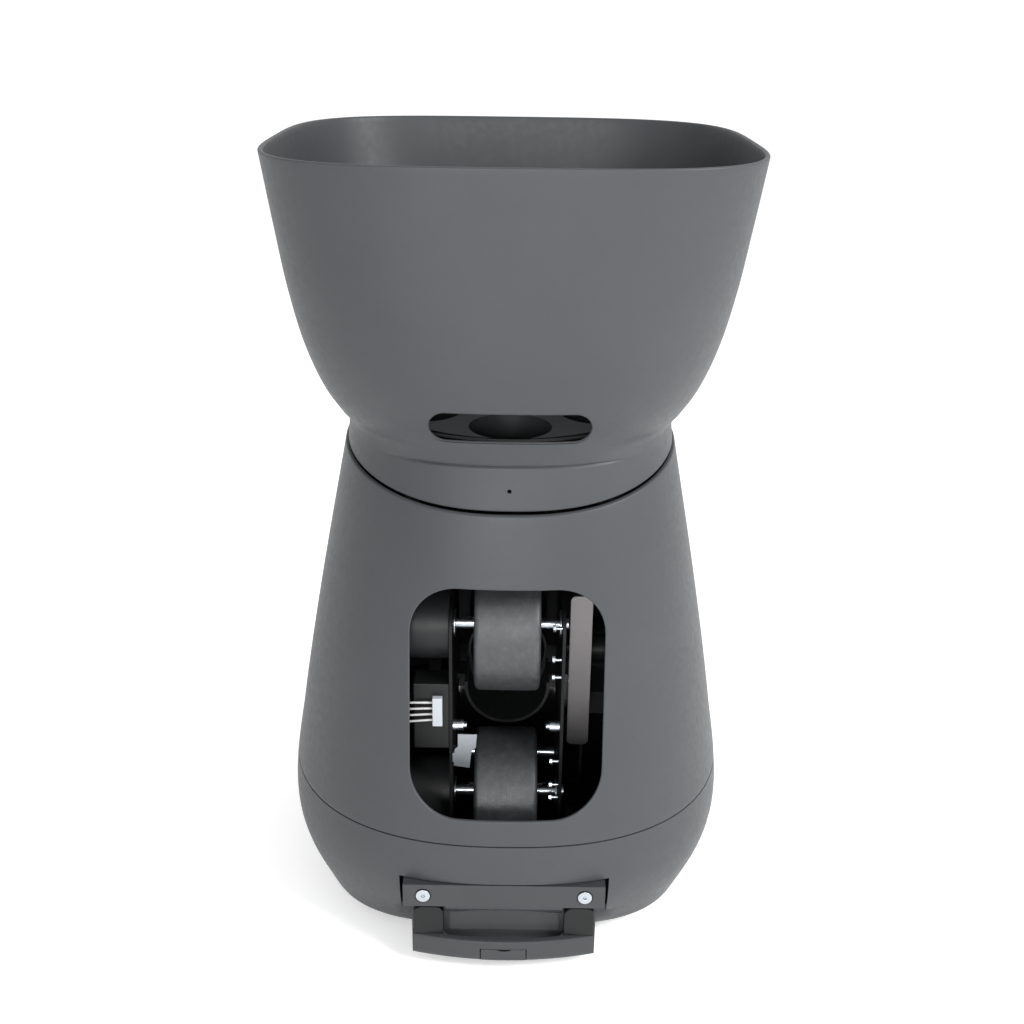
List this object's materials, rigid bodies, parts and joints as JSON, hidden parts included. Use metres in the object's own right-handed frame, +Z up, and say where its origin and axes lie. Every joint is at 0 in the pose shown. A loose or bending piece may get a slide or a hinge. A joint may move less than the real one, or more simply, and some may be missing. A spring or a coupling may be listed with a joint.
{
  "type": "tennis ball machine",
  "caption": "Two-wheel ball launcher with a square open hopper on a tapered body, a launch window, a telescopic trolley handle and rear transport wheels.",
  "frame": {"origin": "on the floor, on the body's vertical axis, at the bottom centre of the whole machine", "axes": "+Z up, the ball leaves towards -Y, +X is to the right of someone who faces the launch window"},
  "size_m": [0.4337, 0.452, 0.73],
  "materials": {
    "shell": "fine textured moulding",
    "inner_plastic": "satin",
    "feed_plastic": "satin",
    "black_plastic": "satin",
    "handle_plastic": "satin",
    "hub_plastic": "satin",
    "gear_plastic": "satin",
    "white_plastic": "moulded",
    "wire_white": "insulation",
    "motor_can": "semi-gloss black",
    "black_sheet": "powder coat",
    "pale_sheet": "powder coat",
    "zinc_sheet": "zinc plated",
    "steel": "bright",
    "gear_steel": "bright",
    "tube_metal": "anodised",
    "rubber": "matte",
    "wheel_rubber": "fine grained polyurethane",
    "display": "gloss",
    "button_rubber": "matte",
    "rocker_plastic": "gloss"
  },
  "bodies": {
    "base": {"base_tray": "shell", "bezel_screws": "steel", "body_shell": "shell", "charge_socket": "black_plastic", "chassis_plate": "black_sheet", "chassis_stands": "black_sheet", "deck_brackets": "inner_plastic", "display_lens": "display", "drop_chute": "inner_plastic", "feed_deck": "inner_plastic", "feed_motor": "motor_can", "handle_bezel": "handle_plastic", "handle_outer_tubes": "tube_metal", "pan_motor": "motor_can", "pan_spindle": "steel", "panel_plate": "black_plastic", "parting_lip": "inner_plastic", "roller_axles": "steel", "rubber_feet": "rubber"},
    "hopper": {"hopper_bowl": "shell", "hopper_funnel": "inner_plastic"},
    "feed_star": {"feed_rotor": "feed_plastic"},
    "turntable": {"pan_yoke": "black_sheet", "arm_guard": "pale_sheet", "pan_gear": "gear_plastic", "tilt_motor": "motor_can"},
    "pan_drive_gear": {"pan_pinion": "gear_steel"},
    "launch_head": {"head_left_plate": "black_sheet", "head_right_plate": "black_sheet", "plate_standoffs": "steel", "wheel_bearings": "steel", "wheel_motors": "motor_can", "ball_trough": "inner_plastic", "plate_bolts": "steel", "driver_box": "black_plastic", "lead_connector": "white_plastic", "motor_lead": "wire_white", "sensor_bracket": "zinc_sheet", "tilt_sector": "zinc_sheet", "tilt_pins": "steel"},
    "tilt_drive_gear": {"tilt_pinion": "gear_steel"},
    "upper_wheel": {"upper_wheel_tyre": "wheel_rubber", "upper_wheel_hub": "hub_plastic", "upper_wheel_shaft": "steel"},
    "lower_wheel": {"lower_wheel_tyre": "wheel_rubber", "lower_wheel_hub": "hub_plastic", "lower_wheel_shaft": "steel"},
    "handle_middle": {"handle_mid_tubes": "tube_metal"},
    "handle_end": {"handle_inner_tubes": "tube_metal", "handle_grip": "handle_plastic", "grip_arms": "black_plastic"},
    "release": {"release_button": "handle_plastic"},
    "left_roller": {"left_roller_tyre": "rubber", "left_roller_hub": "hub_plastic"},
    "right_roller": {"right_roller_tyre": "rubber", "right_roller_hub": "hub_plastic"},
    "battery": {"battery_pack": "black_plastic"},
    "rocker": {"power_rocker": "rocker_plastic"},
    "button_1": {"panel_button_1": "button_rubber"},
    "button_2": {"panel_button_2": "button_rubber"}
  },
  "joints": [
    {"name": "hopper_lift", "type": "slide", "parent": "base", "child": "hopper", "axis": [0, 0, 1], "range_m": [0, 0.2]},
    {"name": "feed_spin", "type": "hinge", "parent": "base", "child": "feed_star", "pos_m": [0, 0, 0.48], "axis": [0, 0, 1], "continuous": true},
    {"name": "pan", "type": "hinge", "parent": "base", "child": "turntable", "pos_m": [0, 0, 0.075], "axis": [0, 0, 1], "range_deg": [-12, 12]},
    {"name": "pan_drive", "type": "hinge", "parent": "base", "child": "pan_drive_gear", "pos_m": [0, 0.058, 0.073], "axis": [0, 0, 1], "range_deg": [-45, 45]},
    {"name": "tilt", "type": "hinge", "parent": "turntable", "child": "launch_head", "pos_m": [0, -0.05, 0.2125], "axis": [-1, 0, 0], "range_deg": [-4, 18]},
    {"name": "tilt_drive", "type": "hinge", "parent": "turntable", "child": "tilt_drive_gear", "pos_m": [0.058, 0.019, 0.2125], "axis": [-1, 0, 0], "range_deg": [-125, 35]},
    {"name": "upper_wheel_spin", "type": "hinge", "parent": "launch_head", "child": "upper_wheel", "pos_m": [0, -0.108, 0.304], "axis": [1, 0, 0], "continuous": true},
    {"name": "lower_wheel_spin", "type": "hinge", "parent": "launch_head", "child": "lower_wheel", "pos_m": [0, -0.108, 0.121], "axis": [1, 0, 0], "continuous": true},
    {"name": "handle_first_stage", "type": "slide", "parent": "base", "child": "handle_middle", "axis": [0, -1, 0], "range_m": [0, 0.165]},
    {"name": "handle_second_stage", "type": "slide", "parent": "handle_middle", "child": "handle_end", "axis": [0, -1, 0], "range_m": [0, 0.165]},
    {"name": "release_press", "type": "slide", "parent": "handle_end", "child": "release", "axis": [0, 1, 0], "range_m": [0, 0.003], "stiffness_N_per_m": 400},
    {"name": "left_roller_spin", "type": "hinge", "parent": "base", "child": "left_roller", "pos_m": [-0.116, 0.184, 0.044], "axis": [1, 0, 0], "continuous": true},
    {"name": "right_roller_spin", "type": "hinge", "parent": "base", "child": "right_roller", "pos_m": [0.116, 0.184, 0.044], "axis": [1, 0, 0], "continuous": true},
    {"name": "battery_slide", "type": "slide", "parent": "base", "child": "battery", "axis": [0, 1, 0], "range_m": [0, 0.14]},
    {"name": "rocker_tip", "type": "hinge", "parent": "base", "child": "rocker", "pos_m": [-0.025, 0.18442, 0.30802], "axis": [1, 0, 0], "range_deg": [-6, 6]},
    {"name": "button_1_press", "type": "slide", "parent": "base", "child": "button_1", "axis": [0, -0.9816, -0.1908], "range_m": [0, 0.0015], "stiffness_N_per_m": 300},
    {"name": "button_2_press", "type": "slide", "parent": "base", "child": "button_2", "axis": [0, -0.9816, -0.1908], "range_m": [0, 0.0015], "stiffness_N_per_m": 300}
  ],
  "couplings": [
    {"joint": "pan_drive", "follows": "pan", "ratio": -3.1429},
    {"joint": "tilt_drive", "follows": "tilt", "ratio": -6.6667}
  ]
}
